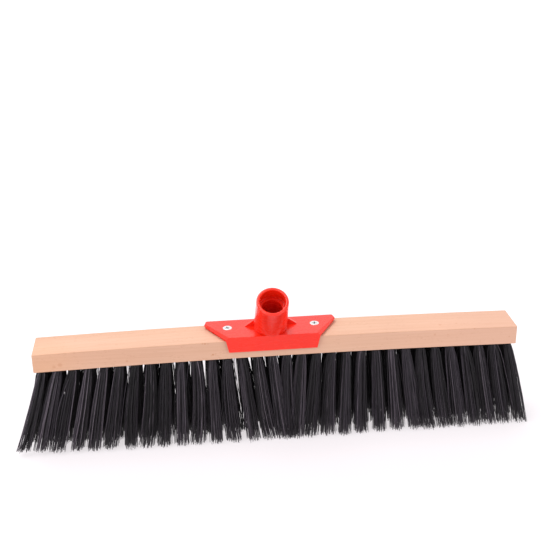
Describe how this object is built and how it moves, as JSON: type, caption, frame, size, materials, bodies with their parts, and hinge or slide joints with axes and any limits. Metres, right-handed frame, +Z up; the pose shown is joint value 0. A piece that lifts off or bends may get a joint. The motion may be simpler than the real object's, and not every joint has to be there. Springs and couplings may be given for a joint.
{
  "type": "push broom head",
  "caption": "Push broom head: a long wooden block with rows of stiff black bristles and a red plastic handle socket screwed on top, leaning forward.",
  "frame": {"origin": "on the floor plane under the middle of the whole head, which stands on its trimmed bristle tips", "axes": "+X along the block, -Y towards the side that the handle leans to, +Z up"},
  "size_m": [0.5348, 0.0732, 0.172],
  "materials": {
    "wood": "sanded, unvarnished pale hardwood",
    "red_plastic": "satin moulded polypropylene",
    "bristle": "stiff black plastic filament, slight sheen",
    "zinc_steel": "bright zinc plated screw",
    "anchor_wire": "flat galvanised wire"
  },
  "bodies": {
    "head": {"wood_block": "wood", "socket_bracket": "red_plastic", "bracket_screws": "zinc_steel", "tuft_folds_row_1": "bristle", "tuft_folds_row_2": "bristle", "tuft_folds_row_3": "bristle", "tuft_folds_row_4": "bristle", "anchor_wires_row_1": "anchor_wire", "anchor_wires_row_2": "anchor_wire", "anchor_wires_row_3": "anchor_wire", "anchor_wires_row_4": "anchor_wire"},
    "bristles_row_1": {"tufts_row_1a": "bristle", "tufts_row_1b": "bristle", "tufts_row_1c": "bristle", "tufts_row_1d": "bristle"},
    "bristles_row_2": {"tufts_row_2a": "bristle", "tufts_row_2b": "bristle", "tufts_row_2c": "bristle", "tufts_row_2d": "bristle"},
    "bristles_row_3": {"tufts_row_3a": "bristle", "tufts_row_3b": "bristle", "tufts_row_3c": "bristle", "tufts_row_3d": "bristle"},
    "bristles_row_4": {"tufts_row_4a": "bristle", "tufts_row_4b": "bristle", "tufts_row_4c": "bristle", "tufts_row_4d": "bristle"}
  },
  "joints": [
    {"name": "flex_row_1", "type": "hinge", "parent": "head", "child": "bristles_row_1", "pos_m": [0, -0.00479, 0.093], "axis": [1, 0, 0], "range_deg": [-15, 15], "stiffness_Nm_per_rad": 0.9},
    {"name": "flex_row_2", "type": "hinge", "parent": "head", "child": "bristles_row_2", "pos_m": [0, 0.00521, 0.093], "axis": [1, 0, 0], "range_deg": [-15, 15], "stiffness_Nm_per_rad": 0.9},
    {"name": "flex_row_3", "type": "hinge", "parent": "head", "child": "bristles_row_3", "pos_m": [0, 0.01521, 0.093], "axis": [1, 0, 0], "range_deg": [-15, 15], "stiffness_Nm_per_rad": 0.9},
    {"name": "flex_row_4", "type": "hinge", "parent": "head", "child": "bristles_row_4", "pos_m": [0, 0.02521, 0.093], "axis": [1, 0, 0], "range_deg": [-15, 15], "stiffness_Nm_per_rad": 0.9}
  ],
  "couplings": [
    {"joint": "flex_row_2", "follows": "flex_row_1", "ratio": 1},
    {"joint": "flex_row_3", "follows": "flex_row_1", "ratio": 1},
    {"joint": "flex_row_4", "follows": "flex_row_1", "ratio": 1}
  ]
}
